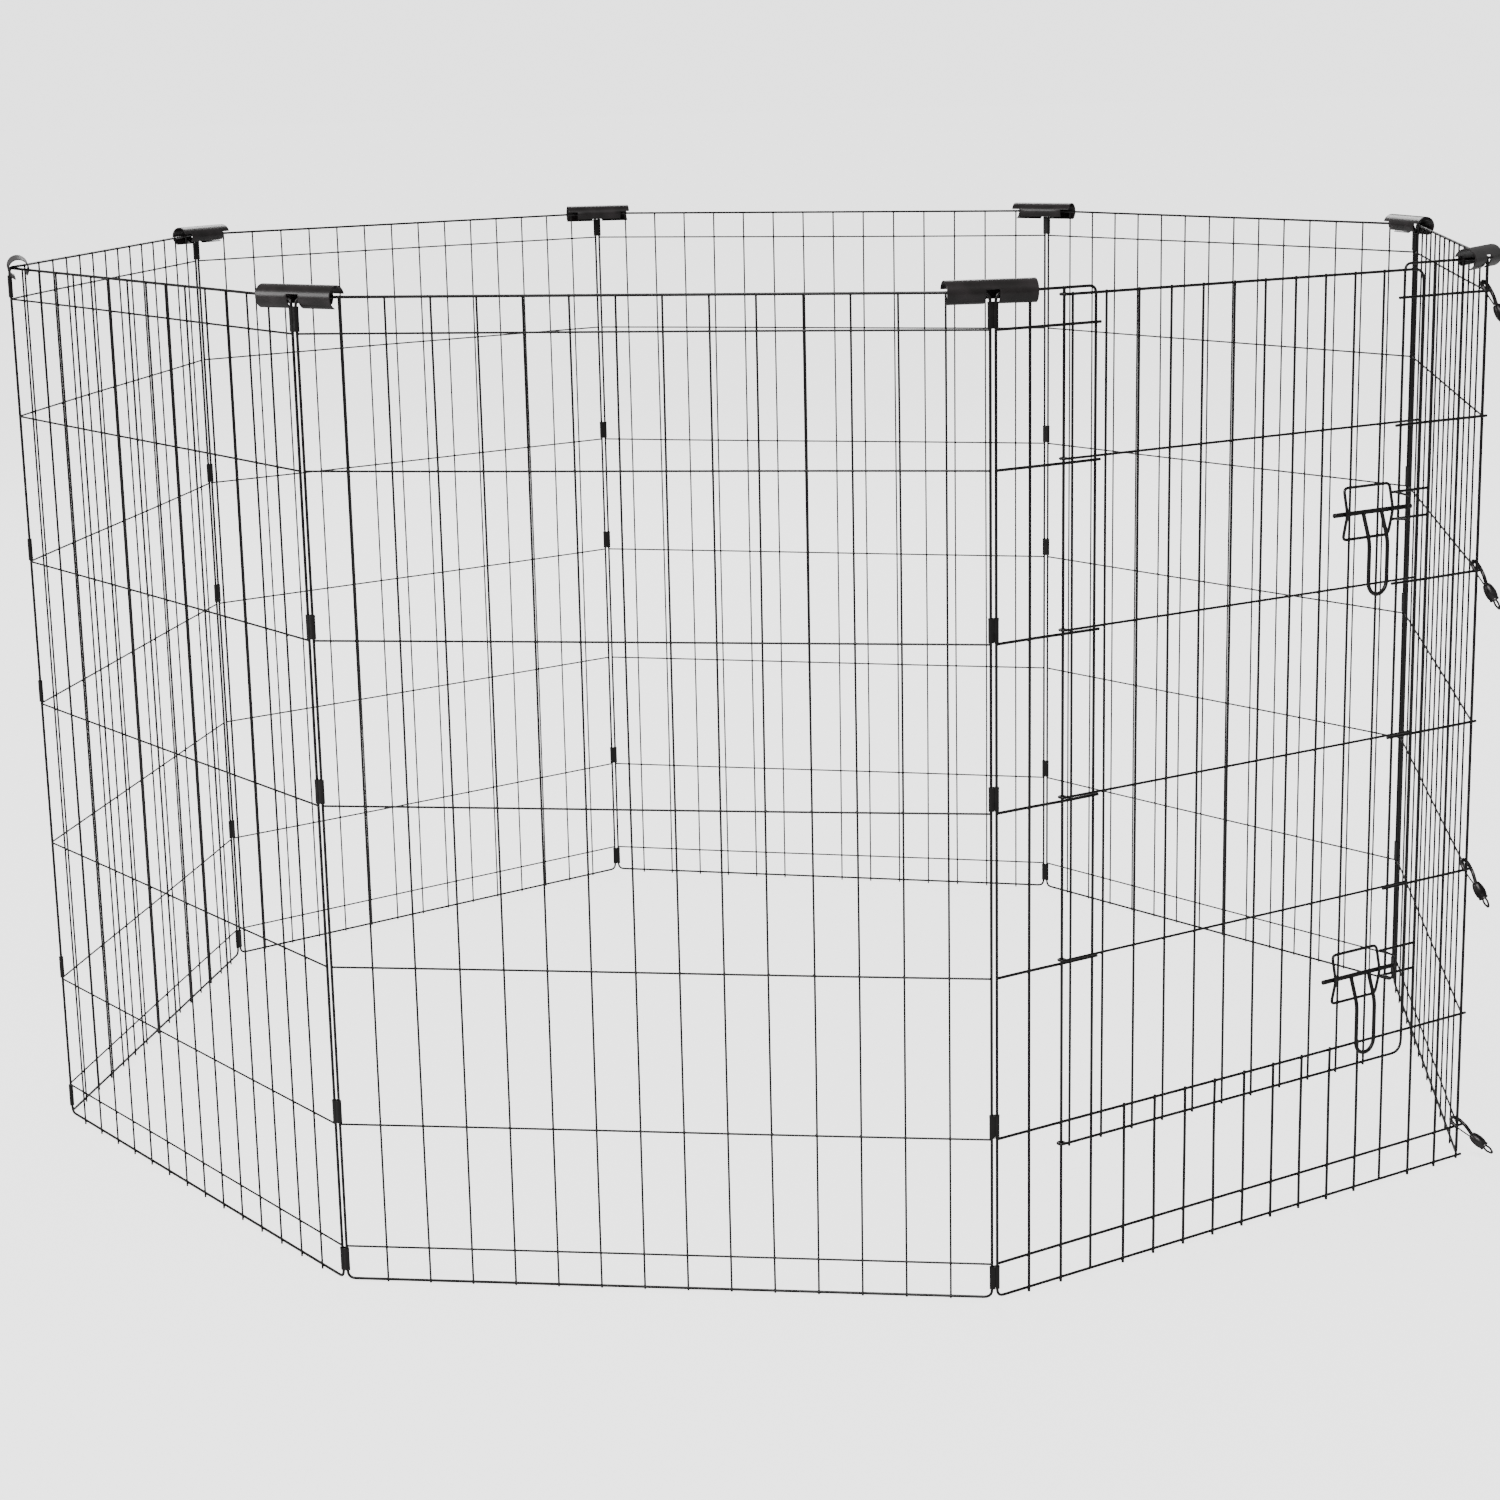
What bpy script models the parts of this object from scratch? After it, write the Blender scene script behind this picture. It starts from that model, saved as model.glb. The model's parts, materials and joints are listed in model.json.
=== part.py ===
"""Folding wire pet playpen: eight hinged wire panels, one of them with a door, standing as an octagon.

Metres, +Z up.  The door panel runs along +X at the front and faces -Y, the floor is z = 0, and
the origin is the middle of the footprint.  Corners are lettered a to h anticlockwise from the left
end of the door panel.  Each hinged corner has two posts, one per panel, held side by side in folded
sleeves, so a corner turns about both posts.  Corner b is the pen's own opening joint, closed with snaps.
"""

import math

import bmesh
import bpy
from mathutils import Matrix, Vector

MM = 0.001

# Driving dimensions
PITCH = 609.6 * MM  # corner to corner along one panel
TOP = 914.4 * MM  # centre of the top wire
BOTTOM = 3.2 * MM  # centre of the bottom wire; the upright wires' ends reach the floor below it
ROWS = [35.1 * MM, 155.3 * MM, 307.1 * MM, 459.0 * MM, 610.8 * MM, 762.6 * MM, 882.8 * MM]
FRAME_R = 1.35 * MM  # outline wire
WIRE_R = 1.0 * MM  # inner wires of a plain panel
STOUT_R = 1.4 * MM  # inner wires of the door panel
BEND_R = 7.5 * MM  # outline corners
UPRIGHT_GAPS = 15  # spaces between upright wires of a plain panel
POST_GAP = 5.0 * MM  # post to post across a hinged corner
TUCK = 1.4 * MM  # at corner b panel 2 starts this far inside the line of the door panel
TURNS = {"a": 41.9, "b": 50.0, "c": 44.5, "d": 38.2, "e": 52.6}  # as the pen stands; f, g, h close the ring
CENTRE_SHIFT = 6.0 * MM  # the latches stand out in front, so the footprint's middle is this far forward
CLEAR = 0.35 * MM

# Panel outline, measured from the first post
INSET = POST_GAP / 2 / math.cos(math.radians(22.5))  # corner point to post
WIDTH = PITCH - 2 * INSET  # post to post
LAP = FRAME_R + WIRE_R - 0.2 * MM  # upright wires lie on one face of the outline and sink in a little
STOUT_LAP = FRAME_R + STOUT_R - 0.2 * MM
ROW_SHIFT = 0.3 * MM  # the door panel's rows sit this far inwards, clear of its uprights
OVERSHOOT = 7.0 * MM  # wires of the door panel run past its free end post

# Door panel and door, x measured from corner a
STEP = 38.1 * MM
HINGE_X = 2 * STEP
OPENING = (3 * STEP, 13 * STEP)
SILL = ROWS[1]
DOOR_R = 1.4 * MM
DOOR_ROW_R = 1.2 * MM
LOOP_R = 3.2 * MM  # centre line of a hinge loop
DOOR_LEFT, DOOR_RIGHT = 81.0 * MM, 515.0 * MM
DOOR_FOOT, DOOR_HEAD = 136.0 * MM, 909.0 * MM
DOOR_LAST, DOOR_STEP, DOOR_BARS = 459.5 * MM, 37.8 * MM, 10
DOOR_ROWS = [row + 4.5 * MM for row in ROWS[2:6]]
DOOR_Y = -STOUT_LAP - LOOP_R
DOOR_BAR_Y = DOOR_Y - DOOR_R - DOOR_ROW_R + 0.1 * MM

# Latches
LATCHES = {"lower": 231.0 * MM, "upper": 686.5 * MM}
ROD_R = 2.3 * MM
ROD = (397.0 * MM, 500.0 * MM)
ROD_Y = DOOR_BAR_Y - DOOR_ROW_R - CLEAR - ROD_R
BRACKET = (411.0 * MM, 471.0 * MM)
BRACKET_RISE = 24.5 * MM
BRACKET_PEAK_Y = ROD_Y - ROD_R - 1.2 * MM - DOOR_R
HANDLE_R = 2.0 * MM
HANDLE_X = 447.0 * MM
HANDLE_DROP = 78.0 * MM
HANDLE_OUT = -10.0 * MM
KEEPER_X = 490.0 * MM
KEEPER_RISE = 13.0 * MM

# Corner pieces
SLEEVE_WALL = 0.7 * MM
SLEEVE_CLEAR = 0.3 * MM
SLEEVE_TALL = 21.9 * MM
CAP_R, CAP_WALL, CAP_LENGTH = 10.75 * MM, 1.1 * MM, 82.0 * MM
CAP_INWARDS = 9.0 * MM  # posts to the cap's axis
CAP_NOTCH = 12.4 * MM
SNAP_ROWS = {1: (ROWS[0], 35.0), 2: (ROWS[2], 58.0), 3: (ROWS[4], 58.0), 4: (ROWS[6], 58.0)}  # height, droop
SNAP_R = 1.9 * MM

BLACK = (0.016, 0.014, 0.014)
BROWN_BLACK = (0.045, 0.036, 0.036)
STEEL = (0.30, 0.30, 0.31)

CORNERS = "abcdefgh"


def clear_scene():
    for obj in list(bpy.data.objects):
        bpy.data.objects.remove(obj)


def material(name, colour, roughness, metallic):
    made = bpy.data.materials.new(name)
    made.use_nodes = True
    shader = made.node_tree.nodes["Principled BSDF"]
    shader.inputs["Base Color"].default_value = (*colour, 1)
    shader.inputs["Roughness"].default_value = roughness
    shader.inputs["Metallic"].default_value = metallic
    return made


def basis(origin, x_axis, y_axis):
    """The matrix that puts local X and Y along two square directions."""
    x_axis, y_axis = Vector(x_axis).normalized(), Vector(y_axis).normalized()
    turn = Matrix((x_axis, y_axis, x_axis.cross(y_axis))).transposed().to_4x4()
    return Matrix.Translation(origin) @ turn


def bar(bm, start, end, radius, corner, sides=6):
    """A straight wire, with one edge of its outline pointing along corner."""
    start, end = Vector(start), Vector(end)
    along = (end - start).normalized()
    across = Vector(corner).cross(along)
    place = basis((start + end) / 2, across, corner)
    bmesh.ops.create_cone(
        bm, cap_ends=True, segments=sides, radius1=radius, radius2=radius,
        depth=(end - start).length, matrix=place,
    )


def mesh_of(bm, name):
    bmesh.ops.remove_doubles(bm, verts=bm.verts, dist=1e-7)
    mesh = bpy.data.meshes.new(name)
    bm.to_mesh(mesh)
    bm.free()
    return mesh


def bent_wire(name, points, radius, closed=False, detail=1):
    """A wire along the points: detail 0 has four sides, 1 six, 2 eight."""
    curve = bpy.data.curves.new(name, "CURVE")
    curve.dimensions = "3D"
    curve.bevel_depth = radius
    curve.bevel_resolution = detail
    curve.use_fill_caps = True
    spline = curve.splines.new("POLY")
    spline.points.add(len(points) - 1)
    for point, place in zip(spline.points, points):
        point.co = (*place, 1)
    spline.use_cyclic_u = closed
    obj = bpy.data.objects.new(name, curve)
    bpy.context.collection.objects.link(obj)
    mesh = evaluated_mesh(obj)
    bpy.data.objects.remove(obj)
    bm = bmesh.new()
    bm.from_mesh(mesh)
    bmesh.ops.remove_doubles(bm, verts=bm.verts, dist=1e-7)
    bmesh.ops.recalc_face_normals(bm, faces=bm.faces)
    return mesh_of(bm, name)


def evaluated_mesh(obj):
    bpy.context.view_layer.update()
    return bpy.data.meshes.new_from_object(obj.evaluated_get(bpy.context.evaluated_depsgraph_get()))


def union(name, meshes):
    """One closed mesh from several that overlap."""
    objects = [bpy.data.objects.new(f"{name}_{i}", mesh) for i, mesh in enumerate(meshes)]
    for obj in objects:
        bpy.context.collection.objects.link(obj)
    for other in objects[1:]:
        joint = objects[0].modifiers.new(other.name, "BOOLEAN")
        joint.operation = "UNION"
        joint.object = other
    joined = evaluated_mesh(objects[0])
    joined.name = name
    for obj in objects:
        bpy.data.objects.remove(obj)
    return joined


def corner_arc(centre, radius, start, end, steps=2):
    """Points on an arc in the X-Z plane, angles in degrees from +X towards +Z."""
    angles = [math.radians(start + (end - start) * i / steps) for i in range(steps + 1)]
    return [(centre[0] + radius * math.cos(a), centre[1], centre[2] + radius * math.sin(a)) for a in angles]


def rounded_outline(left, right, low, high, y, radius):
    """A closed rounded rectangle in the X-Z plane."""
    return (
        corner_arc((right - radius, y, low + radius), radius, -90, 0)
        + corner_arc((right - radius, y, high - radius), radius, 0, 90)
        + corner_arc((left + radius, y, high - radius), radius, 90, 180)
        + corner_arc((left + radius, y, low + radius), radius, 180, 270)
    )


def plain_panel_mesh():
    """Outline, rows butted between the posts, and upright wires lapped on the +Y face."""
    outline = bent_wire("outline", rounded_outline(0, WIDTH, BOTTOM, TOP, 0, BEND_R), FRAME_R, True, 1)
    bm = bmesh.new()
    for row in ROWS:
        bar(bm, (0, 0, row), (WIDTH, 0, row), WIRE_R, (0, 0, 1))
    for i in range(1, UPRIGHT_GAPS):
        x = i * PITCH / UPRIGHT_GAPS - INSET
        bar(bm, (x, LAP, 0), (x, LAP, TOP + 1 * MM), WIRE_R, (0, 1, 0))
    return union("plain_panel", [outline, mesh_of(bm, "bars")])


def door_panel_mesh():
    """The fixed wires round the doorway, which is open at the top and closed below by a sill."""
    left, right = 0, WIDTH
    run_out = right + OVERSHOOT
    edge_left, edge_right = OPENING[0] - INSET, OPENING[1] - INSET
    first = (
        [(run_out, 0, BOTTOM)]
        + corner_arc((left + BEND_R, 0, BOTTOM + BEND_R), BEND_R, 270, 180)
        + corner_arc((left + BEND_R, 0, TOP - BEND_R), BEND_R, 180, 90)
        + corner_arc((edge_left - BEND_R, 0, TOP - BEND_R), BEND_R, 90, 0)
        + [(edge_left, 0, BOTTOM + 0.1 * MM)]
    )
    second = (
        [(edge_right, 0, BOTTOM + 0.1 * MM)]
        + corner_arc((edge_right + BEND_R, 0, TOP - BEND_R), BEND_R, 180, 90)
        + [(run_out, 0, TOP)]
    )
    bm = bmesh.new()
    bar(bm, (right, 0, 0.5 * MM), (right, 0, TOP + FRAME_R), FRAME_R * 1.05, (0, 1, 0))
    for row in ROWS:
        if row <= SILL:
            bar(bm, (left, ROW_SHIFT, row), (run_out, ROW_SHIFT, row), STOUT_R, (0, 0, 1))
        else:
            bar(bm, (left, ROW_SHIFT, row), (edge_left + 5 * MM, ROW_SHIFT, row), STOUT_R, (0, 0, 1))
            bar(bm, (edge_right - 5 * MM, ROW_SHIFT, row), (run_out, ROW_SHIFT, row), STOUT_R, (0, 0, 1))
    uprights = bmesh.new()
    for i in range(1, 16):
        if i * STEP in OPENING:
            continue
        x = i * STEP - INSET
        head = TOP + 1 * MM if not OPENING[0] < i * STEP < OPENING[1] else SILL + 3 * MM
        bar(uprights, (x, -STOUT_LAP, 0), (x, -STOUT_LAP, head), STOUT_R, (0, 1, 0))
    pieces = [bent_wire("near", first, FRAME_R), bent_wire("far", second, FRAME_R)]
    pieces += [mesh_of(bm, "rows"), mesh_of(uprights, "uprights")]
    for height in LATCHES.values():
        pieces += keeper_meshes(height)
    return union("door_panel", pieces)


def keeper_meshes(height):
    """Two short wires beside the doorway carry a loop that stands out through the door for the bolt."""
    bm = bmesh.new()
    for side in (-1, 1):
        z = height + side * KEEPER_RISE
        bar(bm, (OPENING[1] - INSET - 8 * MM, ROW_SHIFT, z), (14 * STEP - INSET + 2 * MM, ROW_SHIFT, z),
            STOUT_R, (0, 0, 1))
    reach = BRACKET_PEAK_Y
    x, bend = KEEPER_X - INSET, 5 * MM
    loop = [(x, 0, height - KEEPER_RISE)]
    loop += [(x, reach + bend - bend * math.sin(a), height - KEEPER_RISE + bend - bend * math.cos(a))
             for a in (0, math.pi / 4, math.pi / 2)]
    loop += [(x, y, 2 * height - z) for x, y, z in reversed(loop)]
    return [mesh_of(bm, "keeper_wires"), bent_wire("keeper_loop", loop, STOUT_R)]


def door_mesh():
    """The door, x measured from its hinge wire: outline, rows that end in hinge loops, uprights, latch brackets."""
    y = DOOR_Y + STOUT_LAP
    bar_y = DOOR_BAR_Y + STOUT_LAP
    left, right = DOOR_LEFT - HINGE_X, DOOR_RIGHT - HINGE_X
    bend = 12 * MM
    outline = hook_points(DOOR_FOOT)[::-1]
    outline += corner_arc((right - bend, y, DOOR_FOOT + bend), bend, -90, 0)
    outline += corner_arc((right - bend, y, DOOR_HEAD - bend), bend, 0, 90) + hook_points(DOOR_HEAD)
    pieces = [bent_wire("door_outline", outline, DOOR_R)]
    bm = bmesh.new()
    for x in [left] + [DOOR_LAST - i * DOOR_STEP - HINGE_X for i in range(DOOR_BARS)]:
        bar(bm, (x, bar_y, DOOR_FOOT - 2 * MM), (x, bar_y, DOOR_HEAD + 2 * MM), DOOR_ROW_R, (0, 1, 0))
    pieces.append(mesh_of(bm, "door_bars"))
    for row in DOOR_ROWS:
        pieces.append(hinge_loop(row, right))
    for height in LATCHES.values():
        pieces.append(bracket_mesh(height, bar_y))
    return union("door", pieces)


def hook_points(height):
    """Points of a wire's end as it is hooked round the hinge wire at x = 0, y = 0."""
    angles = [math.radians(-90 - 290 * i / 8) for i in range(9)]
    return [(LOOP_R * math.cos(a), LOOP_R * math.sin(a), height) for a in angles]


def hinge_loop(height, reach):
    return bent_wire("hinge_loop", [(reach, -LOOP_R, height)] + hook_points(height), DOOR_ROW_R)


def bracket_mesh(height, bar_y):
    """A wire frame on two door bars; both sides are bowed outwards in a V over the bolt."""
    y = bar_y - DOOR_ROW_R - DOOR_R + 0.2 * MM
    peak = BRACKET_PEAK_Y + STOUT_LAP
    left, right = BRACKET[0] - HINGE_X, BRACKET[1] - HINGE_X
    bend = 4 * MM
    points = []
    for x, inwards, side in ((right, -1, -1), (right, -1, 1), (left, 1, 1), (left, 1, -1)):
        flat_end = (x + inwards * bend, y, height + side * BRACKET_RISE)
        side_end = (x, y, height + side * (BRACKET_RISE - bend))
        first_on_side = (x, side) in ((right, -1), (left, 1))
        points += [flat_end, side_end] if first_on_side else [side_end, flat_end]
        if first_on_side:
            points.append((x, peak, height))
    return bent_wire("bracket", points, DOOR_R, True)


def rod_mesh():
    bm = bmesh.new()
    bar(bm, (ROD[0] - HANDLE_X, 0, 0), (ROD[1] - HANDLE_X, 0, 0), ROD_R, (0, 0, 1), 8)
    bmesh.ops.bevel(
        bm, geom=[e for e in bm.edges if abs(e.verts[0].co.x - e.verts[1].co.x) < 1e-6],
        offset=0.7 * MM, segments=1, profile=0.5, affect="EDGES", material=-1,
    )
    return mesh_of(bm, "rod")


def handle_mesh():
    """A long loop welded by both ends to the rod; it stands off in front of the bracket and hangs."""
    half, knee, low = 12 * MM, 27 * MM, HANDLE_DROP - 12 * MM
    start = Vector((0, -0.36, -0.93)).normalized() * (ROD_R + CLEAR)
    leg = [(half, start.y, start.z), (half, HANDLE_OUT, -knee)]
    bend = [(half * math.cos(a), HANDLE_OUT, -low - half * math.sin(a)) for a in [math.radians(i * 30) for i in range(7)]]
    return bent_wire("handle", leg + bend + [(-x, y, z) for x, y, z in reversed(leg)], HANDLE_R)


def sleeve_mesh(height):
    """A flat folded sleeve, open right through, round two posts that stand POST_GAP apart on X."""
    bm = bmesh.new()
    inner_r = FRAME_R + SLEEVE_CLEAR
    rings = []
    for radius in (inner_r, inner_r + SLEEVE_WALL):
        angles = [math.radians(-90 + 60 * i) for i in range(4)]
        right = [(POST_GAP / 2 + radius * math.cos(a), radius * math.sin(a), 0) for a in angles]
        rings.append([bm.verts.new(p) for p in right + [(-x, -y, z) for x, y, z in right]])
    for ring in rings:
        for i, vert in enumerate(ring):
            bm.edges.new((vert, ring[(i + 1) % len(ring)]))
    bmesh.ops.bridge_loops(bm, edges=list(bm.edges))
    raised = bmesh.ops.extrude_face_region(bm, geom=list(bm.faces))["geom"]
    bmesh.ops.translate(bm, vec=(0, 0, height), verts=[g for g in raised if isinstance(g, bmesh.types.BMVert)])
    bmesh.ops.recalc_face_normals(bm, faces=bm.faces)
    return mesh_of(bm, "sleeve")


def cap_mesh():
    """A springy C of tube along X, open on its inner lower side and notched where the posts come up through it."""
    bm = bmesh.new()
    stations = (-CAP_LENGTH / 2, -CAP_NOTCH / 2, CAP_NOTCH / 2, CAP_LENGTH / 2)
    first = math.radians(15)
    line = [bm.verts.new((x, CAP_R * math.cos(first), CAP_R * math.sin(first))) for x in stations]
    edges = [bm.edges.new(pair) for pair in zip(line, line[1:])]
    bmesh.ops.spin(
        bm, geom=line + edges, cent=(0, 0, 0), axis=(1, 0, 0), angle=math.radians(230), steps=12, use_merge=False,
    )
    notch = [
        f for f in bm.faces
        if abs(f.calc_center_median().x) < CAP_NOTCH / 2
        and f.calc_center_median().y < -2 * MM
        and f.calc_center_median().z < 2.5 * MM
    ]
    bmesh.ops.delete(bm, geom=notch, context="FACES")
    bmesh.ops.recalc_face_normals(bm, faces=bm.faces)
    if bm.faces[0].normal.dot(bm.faces[0].calc_center_median() * Vector((0, 1, 1))) < 0:
        bmesh.ops.reverse_faces(bm, faces=bm.faces)
    bmesh.ops.solidify(bm, geom=list(bm.faces), thickness=CAP_WALL)
    bmesh.ops.recalc_face_normals(bm, faces=bm.faces)
    return mesh_of(bm, "cap")


def snap_mesh():
    """Snap hook hanging along -Z: hook round the posts at the origin, barrel, and a wire eye below."""
    ring = 8.6 * MM
    hook = [(0, 0, -21 * MM), (4 * MM, 0, -15 * MM), (ring, 0, -8 * MM)]
    hook += corner_arc((0, 0, -1 * MM), ring, 0, 180, 6) + [(-ring, 0, -3 * MM)]
    barrel = bmesh.new()
    bar(barrel, (0, 0, -36 * MM), (0, 0, -19 * MM), 5.8 * MM, (0, 1, 0), 8)
    bmesh.ops.bevel(
        barrel, geom=[e for e in barrel.edges if abs(e.verts[0].co.z - e.verts[1].co.z) < 1e-6],
        offset=2.0 * MM, segments=1, profile=0.5, affect="EDGES", material=-1,
    )
    eye = [(-4 * MM, 0, -34 * MM), (-1.2 * MM, 0, -46 * MM), (1.2 * MM, 0, -46 * MM), (4 * MM, 0, -34 * MM)]
    return union("snap", [mesh_of(barrel, "barrel"), bent_wire("hook", hook, SNAP_R),
                          bent_wire("eye", eye, 1.1 * MM, True)])


def gate_mesh():
    """The snap's sprung gate, from its pivot on the barrel up to just below the nose of the hook."""
    bm = bmesh.new()
    bar(bm, (0, 0, 0.2 * MM), (-3.2 * MM, 0, 13 * MM), 0.8 * MM, (0, 1, 0))
    return mesh_of(bm, "gate")


GATE_PIVOT = Vector((-4.9, 0, -18.3)) * MM


# ---- where everything stands ----

def direction(heading):
    return Vector((math.cos(math.radians(heading)), math.sin(math.radians(heading))))


def layout():
    """The heading of each panel and the ground point where it starts, with the footprint centred."""
    known = [0.0]
    for corner in "bcde":
        known.append(known[-1] + TURNS[corner])
    last = -TURNS["a"]
    tuck = Vector((0, TUCK))
    missing = -(sum((direction(h) for h in known + [last]), Vector((0, 0))) * PITCH + tuck) / PITCH
    middle = math.degrees(math.atan2(missing.y, missing.x)) % 360
    half = math.degrees(math.acos(missing.length / 2))
    turned = known + [middle - half, middle + half, 360 + last]
    starts = [Vector((0, 0))]
    for heading in turned[:-1]:
        starts.append(starts[-1] + PITCH * direction(heading) + (tuck if len(starts) == 1 else Vector((0, 0))))
    xs, ys = [c.x for c in starts], [c.y for c in starts]
    centre = Vector(((min(xs) + max(xs)) / 2, (min(ys) + max(ys)) / 2 - CENTRE_SHIFT))
    return turned, [c - centre for c in starts]


HEADINGS, CORNER_POINTS = layout()


def at(point, heading, height=0.0):
    return Matrix.Translation((point.x, point.y, height)) @ Matrix.Rotation(math.radians(heading), 4, "Z")


def panel_place(index):
    """A panel's frame: origin on its first post, +X along it, +Y into the pen."""
    return at(CORNER_POINTS[index], HEADINGS[index]) @ Matrix.Translation((INSET, 0, 0))


def corner_place(letter):
    """A corner's frame: origin midway between its two posts, +X halfway between its panels' directions, +Y into the pen."""
    index = CORNERS.index(letter)
    before, after = panel_place(index - 1) @ Vector((WIDTH, 0, 0)), panel_place(index) @ Vector((0, 0, 0))
    turn = (HEADINGS[index] - HEADINGS[index - 1]) % 360
    return at((before + after) / 2, HEADINGS[index] - turn / 2)


def post_place(letter, after):
    """The pivot axis at a corner: the post of the panel before it, or of the one after it."""
    index = CORNERS.index(letter)
    x_end = Vector((0, 0, 0)) if after else Vector((WIDTH, 0, 0))
    return Matrix.Translation(panel_place(index if after else index - 1) @ x_end)


# ---- assembly: nested empties are the joints ----

REST = {}


def pivot(name, place, parent=None):
    empty = bpy.data.objects.new(name, None)
    empty.empty_display_size = 0.05
    return attach(empty, place, parent)


def attach(obj, place, parent=None):
    """Puts an object at its place in the pen, under its parent."""
    bpy.context.collection.objects.link(obj)
    REST[obj.name] = place
    obj.matrix_basis = place
    if parent:
        obj.parent = parent
        obj.matrix_parent_inverse = REST[parent.name].inverted()
    return obj


def piece(name, mesh, place, parent, finish):
    obj = attach(bpy.data.objects.new(name, mesh), place, parent)
    if not mesh.materials:
        mesh.materials.append(finish)
        mesh.shade_smooth()
        mesh.set_sharp_from_angle(angle=math.radians(50))
    return obj


def build():
    clear_scene()
    wire = material("black_wire_coat", BLACK, 0.38, 0.0)
    capped = material("dark_cap_coat", BROWN_BLACK, 0.32, 0.0)
    steel = material("dark_steel", STEEL, 0.35, 1.0)
    plain = plain_panel_mesh()
    sleeve = sleeve_mesh(SLEEVE_TALL)
    cap = cap_mesh()

    def panel(number, parent):
        """Panels 3, 5 and 7 stand the other way round, uprights outside, so that neighbours fold flat."""
        place = panel_place(number - 1)
        if number % 2:
            place = place @ Matrix.Translation((WIDTH, 0, 0)) @ Matrix.Rotation(math.pi, 4, "Z")
        piece(f"panel_{number}", plain, place, parent, wire)

    def corner(letter, parent, after):
        """The sleeves and the cap at a corner, turning about the post nearer to the root panel."""
        turn = pivot(f"corner_{letter}_pivot", post_place(letter, after), parent)
        place = corner_place(letter)
        heights = {1: 11.2 * MM, 2: 156.8 * MM, 3: 612.3 * MM, 4: 884.6 * MM}
        for number, height in heights.items():
            piece(f"sleeve_{letter}{number}", sleeve, place @ Matrix.Translation((0, 0, height)), turn, wire)
        cap_on(letter, turn)
        return pivot(f"panel_pivot_{letter}", post_place(letter, not after), turn)

    def cap_on(letter, parent):
        lift = Matrix.Translation((0, CAP_INWARDS, TOP))
        piece(f"cap_{letter}", cap, corner_place(letter) @ lift, parent, capped)

    root = pivot("root_panel_frame", panel_place(5))
    panel(6, root)
    arm = root
    for letter, number in (("f", 5), ("e", 4), ("d", 3), ("c", 2)):
        arm = corner(letter, arm, True)
        panel(number, arm)
    arm = root
    for letter, number in (("g", 7), ("h", 8)):
        arm = corner(letter, arm, False)
        panel(number, arm)
    arm = corner("a", arm, False)

    door_frame = panel_place(0)
    piece("door_panel", door_panel_mesh(), door_frame, arm, wire)
    cap_on("b", arm)
    hinge = door_frame @ Matrix.Translation((HINGE_X - INSET, -STOUT_LAP, 0))
    swing = pivot("door_pivot", hinge, arm)
    piece("door", door_mesh(), hinge, swing, wire)
    rod, handle = rod_mesh(), handle_mesh()
    for name, height in LATCHES.items():
        place = door_frame @ Matrix.Translation((HANDLE_X - INSET, ROD_Y, height))
        slide = pivot(f"{name}_bolt_slide", place, swing)
        piece(f"{name}_bolt_rod", rod, place, slide, wire)
        piece(f"{name}_bolt_handle", handle, place, slide, wire)
    snap, gate = snap_mesh(), gate_mesh()
    for number, (row, droop) in SNAP_ROWS.items():
        place = corner_place("b") @ Matrix.Translation((0, 0, row + 2.5 * MM))
        place = place @ Matrix.Rotation(math.radians(droop - 90), 4, "X")
        piece(f"snap_{number}", snap, place, arm, steel)
        piece(f"snap_gate_{number}", gate, place @ Matrix.Translation(GATE_PIVOT), arm, steel)


build()
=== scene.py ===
# %% [markdown]
# A folding pet playpen, dressed for a picture.  The frame gives the posts, the joints and every
# moving body; this file rebuilds each wire round and smooth, with its welds, bends and finishes,
# and lets it ride on the body it belongs to.

import json
import math
import random

import bmesh
import bpy
from mathutils import Matrix, Vector


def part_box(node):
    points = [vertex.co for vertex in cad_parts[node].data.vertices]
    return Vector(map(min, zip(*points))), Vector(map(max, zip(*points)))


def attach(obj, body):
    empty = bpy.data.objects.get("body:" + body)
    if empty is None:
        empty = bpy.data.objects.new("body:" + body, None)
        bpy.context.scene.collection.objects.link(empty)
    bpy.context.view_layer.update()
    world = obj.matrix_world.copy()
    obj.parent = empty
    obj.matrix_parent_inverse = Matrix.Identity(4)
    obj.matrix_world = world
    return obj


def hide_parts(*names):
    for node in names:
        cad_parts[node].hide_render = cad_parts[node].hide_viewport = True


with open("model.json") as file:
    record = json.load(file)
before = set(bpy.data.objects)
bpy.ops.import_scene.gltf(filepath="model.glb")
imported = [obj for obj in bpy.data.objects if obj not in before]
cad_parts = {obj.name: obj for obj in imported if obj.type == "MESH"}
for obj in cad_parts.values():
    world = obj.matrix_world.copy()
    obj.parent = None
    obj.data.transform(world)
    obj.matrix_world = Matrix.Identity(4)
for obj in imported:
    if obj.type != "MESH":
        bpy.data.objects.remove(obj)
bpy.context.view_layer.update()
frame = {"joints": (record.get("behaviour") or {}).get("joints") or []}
joints = {joint["name"]: joint for joint in frame["joints"]}

# %% [markdown]
# Two posts stand side by side at each corner.  The joint of a corner is the post nearer to panel 6,
# and its sleeves are centred between the two, which gives the other.  Only corner b, where the pen
# opens, has no joint: its posts follow from the width of a panel and its heading.

# %% Posts and sizes
MM = 0.001
FRAME_R, WIRE_R, STOUT_R = 1.35 * MM, 1.0 * MM, 1.4 * MM  # outline, plain uprights and rows, door panel wires
TOP, BOTTOM = 914.4 * MM, 3.2 * MM
ROWS = [z * MM for z in (35.1, 155.3, 307.1, 459.0, 610.8, 762.6, 882.8)]
SINK = 0.2 * MM  # welded wires are pressed this far into each other
HEADING_2 = math.radians(50.0)


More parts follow.
